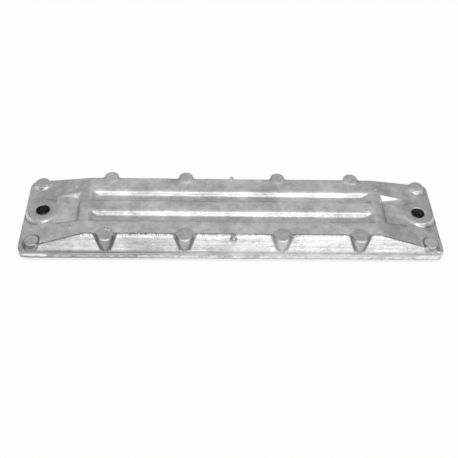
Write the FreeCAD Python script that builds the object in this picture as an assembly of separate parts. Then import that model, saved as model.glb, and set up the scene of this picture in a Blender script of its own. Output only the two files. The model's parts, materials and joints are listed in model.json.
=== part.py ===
import FreeCAD, Part
import math
import os

Vector = FreeCAD.Vector

# Whole bar: X runs along it, Y across it, Z up from the flat base
length = 300.0
width = 68.0
height = 18.5
plan_corner_radius = 4.0
edge_radius = 0.8

# Level crown with a side slope along each edge and a ramp down to each end
rim_height = 7.2
end_height = 7.5
slope_inset = 6.0
ramp_length = 46.5
ramp_blend_radius = 12.0

# Two long grooves, one each side of a flat land, whose floors rise gently at both ends
groove_land = 10.2
groove_width = 9.6
groove_depth = 3.5
groove_wall_draft = 30.0
groove_end_draft = 60.0
groove_end_gap = 1.5
groove_corner_radius = 1.2
groove_lip_bevel = 0.3

# Fixing hole near each end; its flat seat runs out level with the ramp
hole_diameter = 9.4
hole_end_distance = 14.0
hole_lip_bevel = 0.3
seat_diameter = 21.6
boss_draft = 19.0
boss_foot_radius = 0.8

# Drafted pocket between each boss and the crown
pocket_floor_step = 0.4
pocket_crown_gap = 4.3
pocket_floor_width = 22.8
pocket_flare = 8.0
pocket_wall_draft = 30.0
pocket_corner_radius = 1.5
pocket_foot_radius = 0.8

# Round ejector pads along both sides of the crown
pad_diameter = 11.0
front_pad_proud = 0.4
rear_pad_proud = 1.1
pad_side_gap = 0.2
front_pad_foot_radius = 1.8
rear_pad_foot_radius = 0.9
front_pad_bevel = 0.5
rear_pad_bevel = 0.7
inner_pad_offset = 34.0
outer_pad_crown_gap = 14.7

# Round ejector pad at each corner
corner_pad_diameter = 10.8
corner_pad_step = 1.45
corner_pad_end_distance = 9.7
corner_pad_side_distance = 6.0
corner_pad_foot_bevel = 0.8
corner_pad_bevel = 0.5

# Small pin halfway along each side slope
pin_diameter = 3.6
pin_drop = 0.9
pin_side_distance = 5.0
pin_bevel = 0.8

# Levels and half widths that follow from the sizes above
half_length = length / 2
half_width = width / 2
crown_half_length = half_length - ramp_length
crown_half_width = half_width - slope_inset
hole_x = half_length - hole_end_distance
pad_y = half_width - pad_side_gap - pad_diameter / 2
overshoot = 5.0
tolerance = 0.01
both_sides = (-1, 1)


def ramp_level(x):
    """Height of an end ramp at a distance from the middle of the bar."""
    return height - (x - crown_half_length) * (height - end_height) / ramp_length


seat_level = ramp_level(hole_x - seat_diameter / 2)
pocket_floor = seat_level - pocket_floor_step


def slope_of(degrees):
    """Sideways travel of a drafted wall for each unit of its height."""
    return math.tan(math.radians(degrees))


def prism(points, direction):
    """Solid swept from a closed outline along one direction."""
    outline = Part.makePolygon(points + points[:1])
    return Part.Face(outline).extrude(direction)


def plan_block():
    """Rectangle with round corners, as seen from above."""
    block = Part.makeBox(length, width, height, Vector(-half_length, -half_width, 0))
    uprights = [e for e in block.Edges if e.BoundBox.ZLength > height / 2]
    return block.makeFillet(plan_corner_radius, uprights)


def cross_section_bar():
    """Upright rim, side slopes and level crown, swept along X."""
    x = -half_length
    points = [
        Vector(x, -half_width, 0),
        Vector(x, half_width, 0),
        Vector(x, half_width, rim_height),
        Vector(x, crown_half_width, height),
        Vector(x, -crown_half_width, height),
        Vector(x, -half_width, rim_height),
    ]
    return prism(points, Vector(length, 0, 0))


def side_profile_bar():
    """Level crown with a ramp down to each end, swept across Y."""
    y = -half_width
    points = [
        Vector(-half_length, y, 0),
        Vector(half_length, y, 0),
        Vector(half_length, y, end_height),
        Vector(crown_half_length, y, height),
        Vector(-crown_half_length, y, height),
        Vector(-half_length, y, end_height),
    ]
    bar = prism(points, Vector(0, width, 0))
    breaks = [e for e in bar.Edges if is_ramp_break(e)]
    return bar.makeFillet(ramp_blend_radius, breaks)


def is_ramp_break(edge):
    """Line across the bar where the crown turns down into a ramp."""
    middle = edge.CenterOfMass
    across = edge.BoundBox.YLength > half_width
    at_crown_end = abs(abs(middle.x) - crown_half_length) < tolerance
    return across and at_crown_end and middle.z > end_height


def is_base_edge(edge):
    """Part of the outline of the flat base."""
    return edge.BoundBox.ZMax < tolerance


def is_upper_outline(edge):
    """Part of the crown's long edges or of the top of the rim."""
    box = edge.BoundBox
    middle = edge.CenterOfMass
    if is_base_edge(edge) or box.ZLength > height / 2:
        return False
    if box.XLength < tolerance and box.YLength < tolerance:
        return False
    crosses_middle = abs(middle.y) < tolerance
    at_end = abs(middle.x) > half_length - plan_corner_radius
    return at_end or not crosses_middle


def blank():
    """Bar with its slopes and ramps, before bosses, pads and recesses."""
    body = plan_block().common(cross_section_bar())
    body = body.common(side_profile_bar()).Solids[0]
    rounded = [e for e in body.Edges if is_upper_outline(e)]
    return body.makeFillet(edge_radius, rounded).Solids[0]


def on_round_flank(edge, x, y, radius_at):
    """Whether an edge lies around an upright round post at x, y."""
    for point in edge.discretize(5):
        reach = math.hypot(point.x - x, point.y - y)
        if abs(reach - radius_at(point.z)) > 2 * tolerance:
            return False
    box = edge.BoundBox
    return max(box.XLength, box.YLength) > box.ZLength / 2


def stand_post(body, x, y, post, radius_at, top):
    """Join an upright post to the body and find the edges around its foot."""
    joined = body.fuse(post).removeSplitter()
    foot = []
    for edge in joined.Edges:
        between = tolerance < edge.BoundBox.ZMin and edge.BoundBox.ZMax < top - tolerance
        if between and on_round_flank(edge, x, y, radius_at):
            foot.append(edge)
    return joined, foot


def stand_pad(body, x, y, diameter, top):
    """Join a straight round pad, its seam facing the middle of the bar."""
    radius = diameter / 2
    post = Part.makeCylinder(radius, top)
    post.rotate(Vector(0, 0, 0), Vector(0, 0, 1), -90 if y > 0 else 90)
    post.translate(Vector(x, y, 0))
    return stand_post(body, x, y, post, lambda z: radius, top)


def bevel_tops(body, places, level, diameter, bevel):
    """Take the sharp edge off each flat round top at one level."""
    edges = []
    for edge in body.Edges:
        box = edge.BoundBox
        middle = edge.CenterOfMass
        level_edge = abs(box.ZMin - level) < tolerance and abs(box.ZMax - level) < tolerance
        if level_edge and near_any(middle, places, diameter):
            edges.append(edge)
    return body.makeChamfer(bevel, edges).Solids[0]


def near_any(point, places, reach):
    """Whether a point lies within reach of one of the places, seen from above."""
    return any(math.hypot(point.x - x, point.y - y) < reach for x, y in places)


def four_places(x, y):
    """The same place in each quarter of the plan."""
    return [(sx * x, sy * y) for sx in both_sides for sy in both_sides]


def add_crown_pads(body):
    """Pads that stand just proud of the crown and run down the side slopes."""
    offsets = (inner_pad_offset, crown_half_length - outer_pad_crown_gap)
    front_row = (-1, front_pad_proud, front_pad_foot_radius, front_pad_bevel)
    rear_row = (1, rear_pad_proud, rear_pad_foot_radius, rear_pad_bevel)
    for side, proud, foot_radius, bevel in (front_row, rear_row):
        top = height + proud
        places = [(sx * x, side * pad_y) for x in offsets for sx in both_sides]
        for x, y in places:
            joined, foot = stand_pad(body, x, y, pad_diameter, height + overshoot)
            body = joined.makeFillet(foot_radius, foot).Solids[0]
        corner = Vector(-half_length, min(0, side * half_width), top)
        body = body.cut(Part.makeBox(length, half_width, 2 * overshoot, corner)).Solids[0]
        body = bevel_tops(body, places, top, pad_diameter, bevel)
    return body


def add_corner_pads(body):
    """Pads on the end ramps, one at each corner."""
    x = half_length - corner_pad_end_distance
    y = half_width - corner_pad_side_distance
    places = four_places(x, y)
    top = ramp_level(x - corner_pad_diameter / 2) + corner_pad_step
    for x, y in places:
        joined, foot = stand_pad(body, x, y, corner_pad_diameter, top)
        body = joined.makeChamfer(corner_pad_foot_bevel, foot).Solids[0]
    return bevel_tops(body, places, top, corner_pad_diameter, corner_pad_bevel)


def add_pins(body):
    """Short pins halfway along both side slopes."""
    top = height - pin_drop
    for side in both_sides:
        y = side * (half_width - pin_side_distance)
        post = Part.makeCylinder(pin_diameter / 2, top, Vector(0, y, 0))
        rim = [e for e in post.Edges if abs(e.BoundBox.ZMin - top) < tolerance]
        body = body.fuse(post.makeChamfer(pin_bevel, rim))
    return body.Solids[0]


def boss_radius_at(z):
    """Radius of the drafted boss flank at a level."""
    return seat_diameter / 2 + (seat_level - z) * slope_of(boss_draft)


def boss_post(side):
    """Drafted boss, drawn past its seat so that its foot can be blended."""
    top = seat_level + overshoot
    place = Vector(side * hole_x, 0, 0)
    return Part.makeCone(boss_radius_at(0), boss_radius_at(top), top, place)


def add_boss(body, side):
    """Blend a boss into an end ramp and face its seat flat."""
    x = side * hole_x
    top = seat_level + overshoot
    joined, foot = stand_post(body, x, 0, boss_post(side), boss_radius_at, top)
    body = joined.makeFillet(boss_foot_radius, foot).Solids[0]
    facing_radius = seat_diameter / 2 + 2 * boss_foot_radius
    facing = Part.makeCylinder(facing_radius, 2 * overshoot, Vector(x, 0, seat_level))
    return body.cut(facing).Solids[0]


def pocket_cutter(side):
    """Drafted recess that widens from the crown towards the boss."""
    spread = slope_of(pocket_wall_draft)
    lip_start = crown_half_length + pocket_crown_gap
    floor_start = lip_start + (height - pocket_floor) * spread

    def outline(z):
        grow = (z - pocket_floor) * spread
        near = pocket_floor_width / 2 + grow
        far = near + (hole_x - floor_start) * slope_of(pocket_flare)
        points = [
            Vector(side * (floor_start - grow), -near, z),
            Vector(side * hole_x, -far, z),
            Vector(side * hole_x, far, z),
            Vector(side * (floor_start - grow), near, z),
        ]
        return Part.makePolygon(points + points[:1])

    cutter = Part.makeLoft([outline(pocket_floor), outline(height + overshoot)], True, True)
    corners = [
        e for e in cutter.Edges
        if e.BoundBox.ZLength > overshoot and abs(e.CenterOfMass.x) < floor_start
    ]
    cutter = cutter.makeFillet(pocket_corner_radius, corners)
    foot = [
        e for e in cutter.Edges
        if e.BoundBox.ZMax < pocket_floor + tolerance and abs(e.CenterOfMass.x) < hole_x - tolerance
    ]
    return cutter.makeFillet(pocket_foot_radius, foot).cut(boss_post(side))


def groove_cutter(side):
    """Drafted slot with sloped ends and round corners."""
    middle_y = side * (groove_land + groove_width) / 2
    lip_x = crown_half_length - groove_end_gap
    floor = height - groove_depth
    top = height + overshoot

    def half_long(z):
        return lip_x + (z - height) * slope_of(groove_end_draft)

    def half_wide(z):
        return groove_width / 2 + (z - height) * slope_of(groove_wall_draft)

    x = -half_length
    section = [
        Vector(x, middle_y - half_wide(floor), floor),
        Vector(x, middle_y + half_wide(floor), floor),
        Vector(x, middle_y + half_wide(top), top),
        Vector(x, middle_y - half_wide(top), top),
    ]
    y = -half_width
    profile = [
        Vector(-half_long(floor), y, floor),
        Vector(half_long(floor), y, floor),
        Vector(half_long(top), y, top),
        Vector(-half_long(top), y, top),
    ]
    cutter = prism(section, Vector(length, 0, 0)).common(prism(profile, Vector(0, width, 0)))
    corners = [e for e in cutter.Edges if e.BoundBox.ZLength > groove_depth]
    return cutter.Solids[0].makeFillet(groove_corner_radius, corners)


def is_groove_lip(edge):
    """Part of a groove's outline where it opens onto the crown."""
    box = edge.BoundBox
    on_crown = abs(box.ZMin - height) < tolerance and abs(box.ZMax - height) < tolerance
    inside = max(abs(box.YMin), abs(box.YMax)) < groove_land / 2 + groove_width + tolerance
    along = abs(edge.CenterOfMass.x) < crown_half_length - groove_end_gap + tolerance
    return on_crown and inside and along and abs(edge.CenterOfMass.y) > groove_land / 4


def cut_grooves(body):
    """Open both grooves and bevel their lips."""
    for side in both_sides:
        body = body.cut(groove_cutter(side)).Solids[0]
    lips = [e for e in body.Edges if is_groove_lip(e)]
    return body.makeChamfer(groove_lip_bevel, lips).Solids[0]


def drill_holes(body):
    """Fixing holes through the seats, with their upper lips beveled."""
    radius = hole_diameter / 2
    for side in both_sides:
        drill = Part.makeCylinder(radius, height, Vector(side * hole_x, 0, 0))
        body = body.cut(drill).Solids[0]
    places = [(-hole_x, 0), (hole_x, 0)]
    lips = []
    for edge in body.Edges:
        at_seat = abs(edge.BoundBox.ZMin - seat_level) < tolerance
        if at_seat and near_any(edge.CenterOfMass, places, radius / 2):
            lips.append(edge)
    return body.makeChamfer(hole_lip_bevel, lips).Solids[0]


def anode_bar():
    """The whole cast bar."""
    body = blank()
    body = add_crown_pads(body)
    body = add_corner_pads(body)
    body = add_pins(body)
    for side in both_sides:
        body = add_boss(body, side)
        body = body.cut(pocket_cutter(side)).Solids[0]
    body = drill_holes(body)
    return cut_grooves(body)


os.makedirs("parts", exist_ok=True)
anode_bar().exportStep("parts/anode_bar.step")
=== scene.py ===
import json
import math

import bpy
from mathutils import Matrix, Vector, noise

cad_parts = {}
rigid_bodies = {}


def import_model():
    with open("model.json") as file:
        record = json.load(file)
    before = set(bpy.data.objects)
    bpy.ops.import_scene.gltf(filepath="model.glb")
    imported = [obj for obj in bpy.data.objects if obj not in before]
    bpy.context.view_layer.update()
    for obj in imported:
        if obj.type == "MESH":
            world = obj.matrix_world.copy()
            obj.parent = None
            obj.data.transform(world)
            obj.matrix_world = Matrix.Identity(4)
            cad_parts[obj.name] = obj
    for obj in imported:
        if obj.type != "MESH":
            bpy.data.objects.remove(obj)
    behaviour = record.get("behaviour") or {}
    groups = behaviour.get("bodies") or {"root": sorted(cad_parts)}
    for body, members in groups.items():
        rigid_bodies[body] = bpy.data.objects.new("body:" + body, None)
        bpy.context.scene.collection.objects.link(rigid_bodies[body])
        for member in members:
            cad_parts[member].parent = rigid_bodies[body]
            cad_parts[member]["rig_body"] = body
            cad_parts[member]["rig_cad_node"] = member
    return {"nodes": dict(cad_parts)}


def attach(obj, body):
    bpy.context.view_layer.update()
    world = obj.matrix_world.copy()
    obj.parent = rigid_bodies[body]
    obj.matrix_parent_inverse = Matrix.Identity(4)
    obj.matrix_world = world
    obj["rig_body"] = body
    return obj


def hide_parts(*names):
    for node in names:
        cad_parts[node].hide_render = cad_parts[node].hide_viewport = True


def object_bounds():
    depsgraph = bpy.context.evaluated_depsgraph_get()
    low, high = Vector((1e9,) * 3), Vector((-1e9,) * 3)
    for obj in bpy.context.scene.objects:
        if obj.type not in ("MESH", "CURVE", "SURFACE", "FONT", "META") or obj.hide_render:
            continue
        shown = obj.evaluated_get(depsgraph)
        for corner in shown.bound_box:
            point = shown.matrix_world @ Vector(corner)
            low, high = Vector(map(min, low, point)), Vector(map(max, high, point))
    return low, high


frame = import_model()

cad_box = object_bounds()


# The anode: one bar cast in soft grey metal, with every pad, pin, boss and groove part of the
# same pour. Its skin is what the mould left: slightly wavy, with a few pimples on it and a
# thin ragged fin of metal along the front edge of its top, where the mould halves met.

half_width = 0.034
rim_top = 0.0072
crown_top = 0.0185
crown_half_width = 0.028
crown_half_length = 0.1035
ramp_length = 0.0465
ramp_drop = 0.011
side_lean = (half_width - crown_half_width) / (crown_top - rim_top)
boss_place = (0.136, 0.0)
corner_pad_place = (0.1403, 0.028)
pad_places = ((0.034, 0.0283), (0.0888, 0.0283))


def pick_only(*pieces):
    """Leaves only these pieces selected, the last of them active."""
    bpy.ops.object.select_all(action="DESELECT")
    for piece in pieces:
        piece.select_set(True)
        bpy.context.view_layer.objects.active = piece


def finish_with(piece, kind, **settings):
    """Adds one modifier to the piece and applies it."""
    modifier = piece.modifiers.new(kind.title(), kind)
    for name, value in settings.items():
        setattr(modifier, name, value)
    pick_only(piece)
    bpy.ops.object.modifier_apply(modifier=modifier.name)


def select_open_edges():
    """In edit mode, selects the edges that have a face on one side only."""
    bpy.ops.mesh.select_all(action="DESELECT")
    bpy.ops.mesh.select_non_manifold(
        extend=False, use_wire=False, use_boundary=True, use_multi_face=False,
        use_non_contiguous=False, use_verts=False)


def ramp_fall(x):
    """How far the top has come down from the crown at this place along the bar."""
    return max(0.0, abs(x) - crown_half_length) * ramp_drop / ramp_length


def front_edge(x):
    """The place on the front edge of the top, this far along the bar."""
    return Vector((x, -crown_half_width - ramp_fall(x) * side_lean, crown_top - ramp_fall(x)))


def fade(gap, reach):
    """1 where there is no gap, down to 0 where the gap is this reach or more."""
    return max(0.0, 1.0 - gap / reach)


def near(spot, centres, reach):
    """1 at the nearest of the centres as seen from above, down to 0 at this reach from it."""
    return fade(min(math.hypot(spot.x - x, spot.y - y) for x, y in centres), reach)


def weigh(piece, name, weight_at):
    """Makes a vertex group of every corner where weight_at(spot) isn't nothing."""
    group = piece.vertex_groups.new(name=name)
    for corner in piece.data.vertices:
        weight = weight_at(corner.co)
        if weight > 0:
            group.add([corner.index], weight, "REPLACE")


def mould_noise(name, size, contrast=1.0):
    """A soft random height pattern whose bumps are about as wide as size."""
    pattern = bpy.data.textures.new(name, "CLOUDS")
    pattern.noise_scale = size
    pattern.noise_depth = 2
    pattern.contrast = contrast
    return pattern


# The skin starts as a copy of the CAD bar, its loose triangles joined, drawn over with an even
# net and smoothed a little.
skin_cell = 0.00064
merge_gap = 0.000005

pick_only(frame["nodes"]["anode_bar"])
bpy.ops.object.duplicate()
anode = bpy.context.active_object
anode.name = "anode_casting"
anode.data.name = "anode_casting"
anode.parent = None
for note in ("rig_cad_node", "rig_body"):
    del anode[note]
bpy.ops.object.mode_set(mode="EDIT")
bpy.ops.mesh.select_all(action="SELECT")
bpy.ops.mesh.remove_doubles(threshold=merge_gap)
bpy.ops.object.mode_set(mode="OBJECT")
finish_with(anode, "REMESH", mode="VOXEL", voxel_size=skin_cell, use_smooth_shade=True)
finish_with(anode, "SMOOTH", factor=0.5, iterations=2)

# The edge where the rim meets the side slopes is well rounded, and the rim's front foot rough.
rim_edge_reach = 0.0028
rim_edge_inside = 0.031
foot_level = 0.0018
foot_reach = 0.0022
foot_front = -0.0334
foot_bump_size = 0.0024
foot_bump_height = 0.0009

weigh(anode, "rim_edge", lambda spot: fade(abs(spot.z - rim_top), rim_edge_reach)
      if abs(spot.y) > rim_edge_inside else 0.0)
finish_with(anode, "SMOOTH", factor=0.5, iterations=9, vertex_group="rim_edge")
weigh(anode, "rim_foot", lambda spot: fade(abs(spot.z - foot_level), foot_reach)
      if spot.y < foot_front else 0.0)
finish_with(anode, "DISPLACE", texture=mould_noise("rim_foot", foot_bump_size, contrast=1.6),
            vertex_group="rim_foot", strength=foot_bump_height, mid_level=0.9)

# Pimples where the mould was chipped, and the pin at the back drawn up to its full height.
pimples = ((-0.1142, 0.0208), (-0.1143, -0.0197), (0.1067, 0.0185), (-0.0888, -0.0231),
           (-0.0863, -0.0240), (0.0980, -0.0038))
pimple_reach = 0.0012
pimple_height = 0.0004
pimples_above = 0.012
back_pin = (0.0, 0.0302)
back_pin_reach = 0.0032
back_pin_above = 0.0160
back_pin_rise = 0.0017

weigh(anode, "pimples", lambda spot: near(spot, pimples, pimple_reach)
      if spot.z > pimples_above else 0.0)
finish_with(anode, "DISPLACE", vertex_group="pimples", strength=pimple_height, mid_level=0.0)
weigh(anode, "back_pin", lambda spot: near(spot, (back_pin,), back_pin_reach)
      if spot.z > back_pin_above else 0.0)
finish_with(anode, "DISPLACE", vertex_group="back_pin", direction="Z", strength=back_pin_rise,
            mid_level=0.0)

# Slow waves and a fine unevenness over the whole skin.
wave_size = 0.014
wave_depth = 0.0004
unevenness_size = 0.0022
unevenness_depth = 0.00016

for name, size, depth in (("slow_waves", wave_size, wave_depth),
                          ("skin", unevenness_size, unevenness_depth)):
    finish_with(anode, "DISPLACE", texture=mould_noise(name, size), strength=depth,
                mid_level=0.5)

# The flank of each pad narrows as it runs down the side slope, and dies out above the rim.
flank_foot = rim_top - 0.0008
flank_head = 0.0180
flank_half_width = 0.0024
flank_flare = 0.46
flank_fade = 0.0016
flank_reach = 0.011

for corner in anode.data.vertices:
    if flank_foot < corner.co.z < flank_head and abs(corner.co.y) > crown_half_width:
        beside = min(abs(abs(corner.co.x) - x) for x, y in pad_places)
        kept_to = flank_half_width + (corner.co.z - rim_top) * flank_flare
        slope_y = min(half_width, crown_half_width + (crown_top - corner.co.z) * side_lean)
        proud = abs(corner.co.y) - slope_y
        if beside < flank_reach and proud > 0.0:
            kept = min(1.0, fade(beside - kept_to, flank_fade))
            corner.co.y = math.copysign(slope_y + proud * kept, corner.co.y)

# The bar is cut flat just above its base and its walls drawn straight down to the base again,
# so it lies flat, and nothing stands outside the size of the bar.
base_cut = 0.0006
smooth_up_to = math.radians(40)
box_low, box_high = cad_box

pick_only(anode)
bpy.ops.object.mode_set(mode="EDIT")
bpy.ops.mesh.select_mode(type="EDGE")
bpy.ops.mesh.select_all(action="SELECT")
bpy.ops.mesh.bisect(plane_co=(0.0, 0.0, base_cut), plane_no=(0.0, 0.0, 1.0), clear_inner=True)
select_open_edges()
bpy.ops.mesh.extrude_edges_move(TRANSFORM_OT_translate={"value": (0.0, 0.0, -base_cut)})
bpy.ops.mesh.fill(use_beauty=True)
bpy.ops.object.mode_set(mode="OBJECT")
for corner in anode.data.vertices:
    corner.co = [min(max(part, low), high)
                 for part, low, high in zip(corner.co, box_low, box_high)]
bpy.ops.object.shade_smooth_by_angle(angle=smooth_up_to)

# The ragged fin, a thin closed strip folded from a grid: from behind the edge over its crest,
# down the slope, back to a root inside the bar, and up to where it began.
fin_half_length = 0.1335
fin_steps = 880
fin_rows = 4
fin_height = 0.00026
fin_teeth_height = 0.00072
fin_tooth = 0.0021
fin_nick = 0.0008
fin_stretch = 0.016
fin_gap_reach = 0.0078
fin_gap_depth = 0.0012
fin_merge_gap = 0.000001
ramp_blend = 0.0006
front_pads = [(side * x, -y) for side in (-1, 1) for x, y in pad_places]


def waver(x, length, row):
    """A smooth random height along the bar, in bumps of this length."""
    return noise.noise(Vector((x / length, row, 0.0)))


bpy.ops.mesh.primitive_grid_add(x_subdivisions=fin_steps, y_subdivisions=fin_rows, size=1.0)
fin = bpy.context.active_object
for corner in fin.data.vertices:
    x = corner.co.x * 2.0 * fin_half_length
    edge = front_edge(x)
    ragged = waver(x, fin_tooth, 1.7) + 0.7 * waver(x, fin_nick, 5.2)
    swell = 0.7 + 0.6 * waver(x, fin_stretch, 9.1)
    on_ramp = min(1.0, ramp_fall(x) / ramp_blend)
    at_pad = near(edge, front_pads, fin_gap_reach)
    rise = (fin_height + fin_teeth_height * ragged * swell) * (1.0 - 0.5 * on_ramp)
    bead = (1.0 - on_ramp) * (0.8 + 0.9 * ragged)
    behind = Vector((0.0, 0.0012, -0.0003))
    crest = Vector((0.0, 0.0005 - 0.0004 * on_ramp, rise - fin_gap_depth * at_pad))
    lip = Vector((0.0, -0.00058 - 0.00012 * bead + 0.0004 * at_pad, -0.0011))
    root = Vector((0.0, 0.0008, -0.0013))
    folded = (behind, root, lip, crest, behind)
    corner.co = edge + folded[round((corner.co.y + 0.5) * fin_rows)]
pick_only(fin)
bpy.ops.object.mode_set(mode="EDIT")
bpy.ops.mesh.select_all(action="SELECT")
bpy.ops.mesh.remove_doubles(threshold=fin_merge_gap)
select_open_edges()
bpy.ops.mesh.fill(use_beauty=True)
bpy.ops.mesh.select_all(action="SELECT")
bpy.ops.mesh.normals_make_consistent(inside=False)
bpy.ops.object.mode_set(mode="OBJECT")
pick_only(fin, anode)
bpy.ops.object.join()


class Value:
    """One number on a surface, whose arithmetic adds the Math nodes that work it out."""

    def __init__(self, socket):
        self.socket = socket

    def maths(self, operation, first, second):
        node = self.socket.id_data.nodes.new("ShaderNodeMath")
        node.operation = operation
        for slot, value in zip(node.inputs, (first, second)):
            plug(slot, value)
        return Value(node.outputs[0])

    def __add__(self, other):
        return self.maths("ADD", self, other)

    def __sub__(self, other):
        return self.maths("SUBTRACT", self, other)

    def __mul__(self, other):
        return self.maths("MULTIPLY", self, other)

    def __rsub__(self, other):
        return self.maths("SUBTRACT", other, self)

    def __abs__(self):
        return self.maths("ABSOLUTE", self, 0.0)

    def at_least(self, other):
        """This value or the other, whichever is greater."""
        return self.maths("MAXIMUM", self, other)

    __radd__ = __add__
    __rmul__ = __mul__


def plug(slot, value):
    """Gives an input its value, or joins the output that feeds it."""
    if isinstance(value, Value):
        slot.id_data.links.new(value.socket, slot)
    else:
        slot.default_value = value


class Finish:
    """The nodes of one material or of the world."""

    def __init__(self, owner):
        owner.use_nodes = True
        self.tree = owner.node_tree
        self.tree.nodes.clear()

    def node(self, kind, settings=None, sockets=None, output=0):
        """Adds a node, with its settings made first and then its inputs, and gives an output."""
        node = self.tree.nodes.new(kind)
        for name, value in (settings or {}).items():
            setattr(node, name, value)
        for name, value in (sockets or {}).items():
            plug(node.inputs[name], value)
        return Value(node.outputs[output]) if node.outputs else None

    def axis(self, vector, name):
        """The X, Y or Z part of a vector."""
        return self.node("ShaderNodeSeparateXYZ", sockets={"Vector": vector}, output=name)

    def unsigned(self, vector):
        """A vector with the minus signs taken off its parts."""
        return self.node("ShaderNodeVectorMath", {"operation": "ABSOLUTE"}, {0: vector})

    def band(self, value, start, end):
        """0 on the start's side, 1 on the end's side, and a straight change between them."""
        return self.node("ShaderNodeMapRange", {"clamp": True}, {
            "Value": value, "From Min": start, "From Max": end})


def grey(shade):
    """A colour with no tint."""
    return (shade, shade, shade, 1.0)


cast_metal = bpy.data.materials.new("cast_metal_skin")
metal = Finish(cast_metal)
band = metal.band


def random_pattern(vector, scale, detail, roughness):
    """A soft random pattern from 0 to 1."""
    return metal.node("ShaderNodeTexNoise", sockets={
        "Vector": vector, "Scale": scale, "Detail": detail, "Roughness": roughness})


def openness(reach):
    """Near 0 in corners and hollows of about this reach, and 1 in the open."""
    return metal.node("ShaderNodeAmbientOcclusion", {"samples": 8, "only_local": True}, {
        "Distance": reach}, output="AO")


def gap_in_plan(flat_place, spot):
    """How far a spot is from a place on the surface, as seen from above."""
    return metal.node("ShaderNodeVectorMath", {"operation": "DISTANCE"}, {
        0: flat_place, 1: (*spot, 0.0)}, output="Value")


def disc(spot, radius):
    """1 within this radius of a spot and of its twin at the other end, as seen from above."""
    soft_edge = 0.0004
    return 1.0 - band(gap_in_plan(folded_plan, spot), radius - soft_edge, radius + soft_edge)


def ring(spot, inner, outer):
    """1 between two circles round a spot and round its twin at the other end."""
    return disc(spot, outer) - disc(spot, inner)


def between(value, start, full, past, end):
    """0 up to start, 1 from full to past, and 0 again from end on."""
    return band(value, start, full) * (1.0 - band(value, past, end))


# Where the surface is, which way it faces, and the random patterns that break it up.
here = metal.node("ShaderNodeTexCoord", output="Object")
facing_up = metal.axis(metal.node("ShaderNodeTexCoord", output="Normal"), "Z")
lengthwise = metal.axis(here, "X")
across = metal.axis(here, "Y")
upward = metal.axis(here, "Z")
from_middle = metal.axis(metal.unsigned(here), "X")
plan = metal.node("ShaderNodeCombineXYZ", sockets={"X": lengthwise, "Y": across})
folded_plan = metal.node("ShaderNodeCombineXYZ", sockets={"X": from_middle, "Y": across})
cloudy = random_pattern(here, 48.0, 3.0, 0.6)
mottle = random_pattern(here, 230.0, 4.0, 0.65)
grain = random_pattern(here, 1100.0, 3.0, 0.6)
drawn_out = metal.node("ShaderNodeVectorMath", {"operation": "MULTIPLY"}, {
    0: here, 1: (0.04, 1.0, 1.0)})
flow_lines = random_pattern(drawn_out, 520.0, 2.0, 0.5)
sharpness = metal.node("ShaderNodeNewGeometry", output="Pointiness")
level = band(facing_up, 0.90, 0.97)
steep = 1.0 - band(facing_up, 0.60, 0.80)
turning = band(facing_up, 0.20, 0.45) * (1.0 - level)

# The tops of the pads and bosses are duller. The flanks of the front pads and of the front pin
# get painted shade, and each front pad a painted highlight along the lower edge of its top.
corner_x, corner_y = corner_pad_place
front_corner_pad = (corner_x, -corner_y)
corner_pad_radius = 0.0054
pad_radius = 0.0058
boss_radius = 0.0108
corner_flank_radius = 0.0070
pad_flank_radius = 0.0095
flank_mask_half_width = flank_half_width + 0.0002
flank_soft_edge = 0.0012
flank_middle = (-0.0036, -0.0008)
corner_crescent = (0.0048, 0.0060)
pad_crescent = (0.0046, 0.0066)
crescent_tips = (0.0020, 0.0036)
outer_pads_from = 0.050
outer_pads_full = 0.075
front_pin = (0.0, -0.0297)
pin_ring = (0.0010, 0.0025)
pin_foot = 0.0150

pressed = disc(corner_pad_place, corner_pad_radius) + disc(boss_place, boss_radius)
on_pads = disc(front_corner_pad, corner_pad_radius) * 0.7
# Painted shade on the flanks of the front corner pads and front pads, darker on the outer pads.
flank_shade = disc(front_corner_pad, corner_flank_radius) * 0.5
# Painted highlight: a bright crescent at the lower edge of each front pad's top.
crescent_highlights = ring(front_corner_pad, *corner_crescent) * band(
    across, -corner_y - 0.0030, -corner_y - 0.0042) * 0.4
for x, y in pad_places:
    off_pad = abs(from_middle - x)
    past_flank = off_pad - (upward - rim_top) * flank_flare - flank_mask_half_width
    on_pads = on_pads + disc((x, -y), pad_radius)
    flank_shade = flank_shade + disc((x, -y), pad_flank_radius) * (
        1.0 - band(past_flank, 0.0, flank_soft_edge)) * (
        0.32 + band(past_flank, *flank_middle) * 0.32)
    crescent_highlights = crescent_highlights + ring((x, -y), *pad_crescent) * (
        1.0 - band(off_pad, *crescent_tips)) * band(across, -y - 0.0034, -y - 0.0044)
pressed = pressed * 0.6 + on_pads
outer_pads = band(from_middle, outer_pads_from, outer_pads_full)
# Painted shade round the side of the front pin, added to the flank shade.
pin_side_shade = ring(front_pin, *pin_ring) * band(upward, pin_foot, pin_foot + 0.0008)
flank_shade = flank_shade * (1.0 - level) * band(upward, 0.0070, 0.0084) * (
    1.0 + outer_pads * 0.40) + pin_side_shade * 0.6
crescent_highlights = crescent_highlights * turning

# The rim: painted shade at its foot, under its edge and towards the left end, a wandering dark
# line along its middle, painted sheen in patches low down and a painted highlight at both ends.
shaded_end_full = -0.085
shaded_end_to = -0.035
dark_line_level = 0.0038
dark_line_wander = 0.004
streak_span = (0.1290, 0.1335, 0.1450, 0.1470)
streak_height = (0.0014, 0.0022, 0.0036, 0.0044)
patches_end = (0.0034, 0.0040)
edge_shade_start = (0.0046, 0.0062)
foot_shade_end = (0.0005, 0.0015)

# Painted shade, darker towards the left end of the bar.
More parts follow.
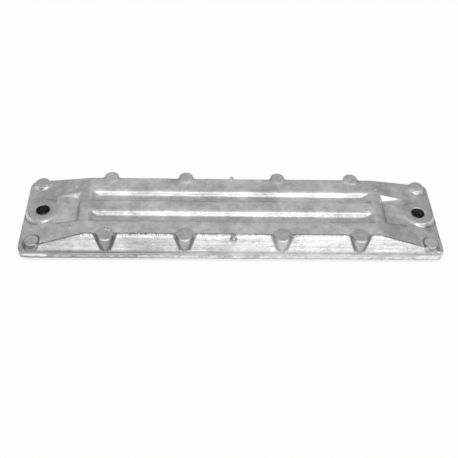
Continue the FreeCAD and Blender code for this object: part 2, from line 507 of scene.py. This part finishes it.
shaded_left_end = 1.0 - band(lengthwise, shaded_end_full, shaded_end_to)
rim = steep * (1.0 - band(upward, rim_top - 0.0006, rim_top + 0.0012))
# A wandering dark line along the middle of the rim.
from_dark_line = upward + (cloudy - 0.5) * dark_line_wander - dark_line_level
dark_mid_line = 1.0 - band(abs(from_dark_line), 0.0002, 0.0008)
# Painted highlight: a bright streak on the rim near both ends.
end_streak_highlight = rim * between(from_middle, *streak_span) * between(upward, *streak_height)
# Painted sheen: brighter patches low on the rim.
rim_sheen_patches = rim * (1.0 - band(upward, *patches_end)) * band(mottle, 0.48, 0.56)
# Painted shade on the rim: towards the left end, under its top edge and along its foot, with the
# dark line.
rim_shade_and_line = rim * (
    0.04
    + shaded_left_end * 0.38
    + band(upward, *edge_shade_start) * band(flow_lines, 0.20, 0.50) * 0.50
    + dark_mid_line * band(mottle, 0.35, 0.55) * 0.36
    + (1.0 - band(upward, *foot_shade_end)) * 0.34)

# The front slope: painted shade on its left half, and a painted highlight strip along its top.
shaded_slope_full = -0.025
shaded_slope_to = 0.035
strip_foot = 0.0164

outside = band(across, -crown_half_width - 0.0003, -crown_half_width - 0.0012) * steep
# Painted shade on the left half of the front slope.
shaded_left_slope = outside * (1.0 - rim) * (1.0 - band(lengthwise, shaded_slope_full, shaded_slope_to))
# Painted highlight: a bright strip along the top of the front slope, just under the edge.
top_strip_highlight = outside * band(upward, strip_foot, strip_foot + 0.0008) * (
    1.0 - band(flank_shade, 0.0, 0.1))

# Painted glints on the pimples, painted shade on the outer and front flank of each boss and
# beside the right one, a painted highlight on each pocket's far wall, painted shade in the holes.
pimple_shine = (0.0003, 0.0015)
boss_flank = (0.0106, 0.0136)
boss_front_flank = (0.0119, 0.0136)
boss_back_from = 0.1375
boss_front_from = -0.004
right_boss_shade_place = (0.1422, -0.0128)
right_boss_shade_reach = 0.0046
pocket_wall_depth = (0.0080, 0.0090, 0.0160, 0.0170)
pocket_wall_span = (0.1085, 0.1095, 0.1240, 0.1250)
bore_radius = 0.0049

# Painted highlight: a small glint on each pimple.
pimple_glints = 0.0
for pimple in pimples:
    pimple_glints = pimple_glints + (1.0 - band(gap_in_plan(plan, pimple), *pimple_shine))
slanted = 1.0 - level
# Painted shade on the outer and front flank of each boss.
boss_side_shade = ring(boss_place, *boss_flank) * band(
    from_middle, boss_back_from, boss_back_from + 0.0025) * slanted + (
    ring(boss_place, *boss_front_flank) * slanted * (1.0 - band(across, boss_front_from, 0.0)))
# Painted shade beside the foot of the right boss.
right_boss_shade = 1.0 - band(gap_in_plan(plan, right_boss_shade_place), 0.0014, right_boss_shade_reach)
# Painted highlight on the far wall of each pocket.
pocket_wall_highlight = between(across, *pocket_wall_depth) * between(
    from_middle, *pocket_wall_span) * (1.0 - band(facing_up, 0.75, 0.9))
# Painted shade inside the holes.
bore_shade = disc(boss_place, bore_radius) * steep

# Painted shade in the broken dark line just behind the front edge of the top, and in corners,
# hollows and creases, while raised edges are rubbed clean and brighter.
line_set_back = 0.0011
line_jags = 0.0024
line_half_width = 0.0009
ends_from = 0.1085
ends_full = 0.1100
corner_reach = 0.0015
hollow_reach = 0.0075

fall = band(from_middle, crown_half_length, crown_half_length + ramp_length) * ramp_drop
behind_edge = across + fall * side_lean + (crown_half_width - line_set_back) + (
    grain - 0.5) * line_jags
# Painted shade: a broken dark line just behind the front edge of the top.
line_shade_behind_edge = (1.0 - band(abs(behind_edge), 0.0003, line_half_width)) * (1.0 - on_pads) * band(
    upward, rim_top, rim_top + 0.0008) * (0.25 + band(mottle, 0.42, 0.54) * 0.75)
ends = band(from_middle, ends_from, ends_full)
# Painted shade in corners, in flat-bottomed hollows and along concave creases.
corner_shade = (1.0 - band(openness(corner_reach), 0.35, 0.95)) * (1.0 - ends * 0.7)
hollow_shade = (1.0 - band(openness(hollow_reach), 0.30, 0.95)) * level
crease_shade = (1.0 - band(sharpness, 0.42, 0.49)) * (1.0 - ends * 0.6)
rubbed = band(sharpness, 0.53, 0.60)

# All together: how dull or painted in shade each spot is, and how bright, painted highlights too.
clean_low = grey(0.54)
clean_high = grey(0.92)
# The dark grey for both dullness and painted shade.
shade_and_dirt_grey = grey(0.16)

# How far each spot goes to the dark grey: dullness plus painted shade, less painted highlights.
dullness_and_shade = metal.node("ShaderNodeClamp", sockets={"Value": (
    pressed * level * (0.15 + band(mottle, 0.42, 0.58) * 0.26)
    + flank_shade
    + rim_shade_and_line
    + hollow_shade * 0.75
    + corner_shade * 0.35
    + right_boss_shade * 0.34
    + shaded_left_slope * 0.26
    + boss_side_shade * 0.24
    + bore_shade * 0.8
    + line_shade_behind_edge * 0.75
    + crease_shade * 0.25
    - rubbed * 0.12
    - crescent_highlights * 1.2
    - end_streak_highlight
    - pocket_wall_highlight * 0.4
    - pimple_glints * 0.25
    - top_strip_highlight * 0.2)})
# Brightness of the clean metal, with the painted highlights and sheen added in.
shine_and_highlights = (
    cloudy * 0.55
    + mottle * 0.30
    + grain * 0.15
    + (flow_lines - 0.5) * steep * 0.35
    + steep * 0.02
    + crescent_highlights * 0.6
    + end_streak_highlight * 0.5
    + pocket_wall_highlight * 0.2
    + pimple_glints * 0.3
    + top_strip_highlight * 0.2
    + rim_sheen_patches * 0.16)
clean = metal.node("ShaderNodeMix", {"data_type": "RGBA"}, {
    "Factor": band(shine_and_highlights, 0.39, 0.61), 6: clean_low, 7: clean_high}, output=2)
tone = metal.node("ShaderNodeMix", {"data_type": "RGBA"}, {
    "Factor": dullness_and_shade, 6: clean, 7: shade_and_dirt_grey}, output=2)
bump = metal.node("ShaderNodeBump", sockets={
    "Height": mottle * 0.5 + grain * 0.4 + flow_lines * steep * 0.5,
    "Strength": 0.5, "Distance": 0.0006})
surface = metal.node("ShaderNodeBsdfPrincipled", sockets={
    "Base Color": tone, "Metallic": 1.0, "Roughness": 0.26 + mottle * 0.10, "Normal": bump})
metal.node("ShaderNodeOutputMaterial", sockets={"Surface": surface})

anode.data.materials.clear()
anode.data.materials.append(cast_metal)
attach(anode, "root")
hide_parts("anode_bar")


# The table: a wide white sheet that vanishes around the bar but for a soft shadow. The metal
# mirrors it as white too, except right under the bar, so that the holes stay dark.

table_size = 40.0
shadow_reach = 0.007
covered_half_width = 0.030
covered_half_length = 0.146
cover_edge = 0.006
sheet_grey = 0.8
whiteness = 0.97

bpy.ops.mesh.primitive_plane_add(size=table_size, location=(0.0, 0.0, 0.0))
table = bpy.context.active_object
table.name = "table"
white_sheet = bpy.data.materials.new("white_sheet")
sheet = Finish(white_sheet)
seen = sheet.node("ShaderNodeLightPath", output="Is Camera Ray")
mirrored = sheet.node("ShaderNodeLightPath", output="Is Glossy Ray")
through = sheet.node("ShaderNodeLightPath", output="Is Transmission Ray")
open_sky = sheet.node("ShaderNodeAmbientOcclusion", {"samples": 8}, {
    "Distance": shadow_reach}, output="AO")
open_table = sheet.band(open_sky, 0.25, 0.75)
from_centre = sheet.unsigned(sheet.node("ShaderNodeTexCoord", output="Object"))
past_side = sheet.band(
    sheet.axis(from_centre, "Y"), covered_half_width, covered_half_width + cover_edge)
past_end = sheet.band(
    sheet.axis(from_centre, "X"), covered_half_length, covered_half_length + cover_edge)
around_bar = past_side.at_least(past_end)
lit = sheet.node("ShaderNodeBsdfDiffuse", sockets={"Color": grey(sheet_grey)})
white = sheet.node("ShaderNodeEmission", sockets={"Color": grey(1.0), "Strength": 1.0})
shown = sheet.node("ShaderNodeMixShader", sockets={
    "Fac": (seen * open_table + (mirrored + through) * around_bar) * whiteness, 1: lit, 2: white})
sheet.node("ShaderNodeOutputMaterial", sockets={"Surface": shown})
table.data.materials.append(white_sheet)


# The room: grey air that brightens evenly towards the ceiling, and two long soft lights in
# front, one standing low and one dimmer above it.

air_low = 0.20
air_rise = 0.52
lights_aim = Vector((0.2, 0.0, 0.0))
light_roll = math.radians(10.0)

room = bpy.data.worlds.new("room")
bpy.context.scene.world = room
air = Finish(room)
height = air.axis(air.node("ShaderNodeTexCoord", output="Generated"), "Z")
walls = air.node("ShaderNodeBackground", sockets={
    "Color": grey(1.0), "Strength": height.at_least(0.0) * air_rise + air_low})
air.node("ShaderNodeOutputWorld", sockets={"Surface": walls})


def soft_light(name, place, size, shown_level):
    """A rectangular light aimed at the bar, showing in the metal at this level."""
    bpy.ops.object.light_add(type="AREA", location=place)
    light = bpy.context.active_object
    light.name = name
    light.data.shape = "RECTANGLE"
    light.data.size, light.data.size_y = size
    light.data.energy = shown_level * math.pi * size[0] * size[1]
    light.rotation_euler = (
        (lights_aim - light.location).to_track_quat("-Z", "Y").to_matrix()
        @ Matrix.Rotation(light_roll, 3, "Z")
    ).to_euler()


soft_light("front_light", (0.62, -1.50, 0.62), (2.9, 0.72), 1.30)
soft_light("upper_light", (0.62, -1.10, 1.24), (2.9, 0.84), 0.95)


# The camera: looking down at the front of the bar from a little left of its middle, and
# rolled a little, as the photo was taken.

camera_place = Vector((-0.024547, -0.358128, 0.393296))
camera_down = math.radians(48.072)
camera_right = math.radians(3.632)
camera_tilt = math.radians(3.153)
camera_sensor = 36.0
camera_lens = 56.71

bpy.ops.object.camera_add()
camera = bpy.context.active_object
camera.data.sensor_width = camera_sensor
camera.data.lens = camera_lens
camera.matrix_world = (
    Matrix.Translation(camera_place)
    @ Matrix.Rotation(-camera_right, 4, "Z")
    @ Matrix.Rotation(math.pi / 2 - camera_down, 4, "X")
    @ Matrix.Rotation(camera_tilt, 4, "Z")
)
bpy.context.scene.camera = camera
bpy.context.scene.view_settings.view_transform = "Standard"
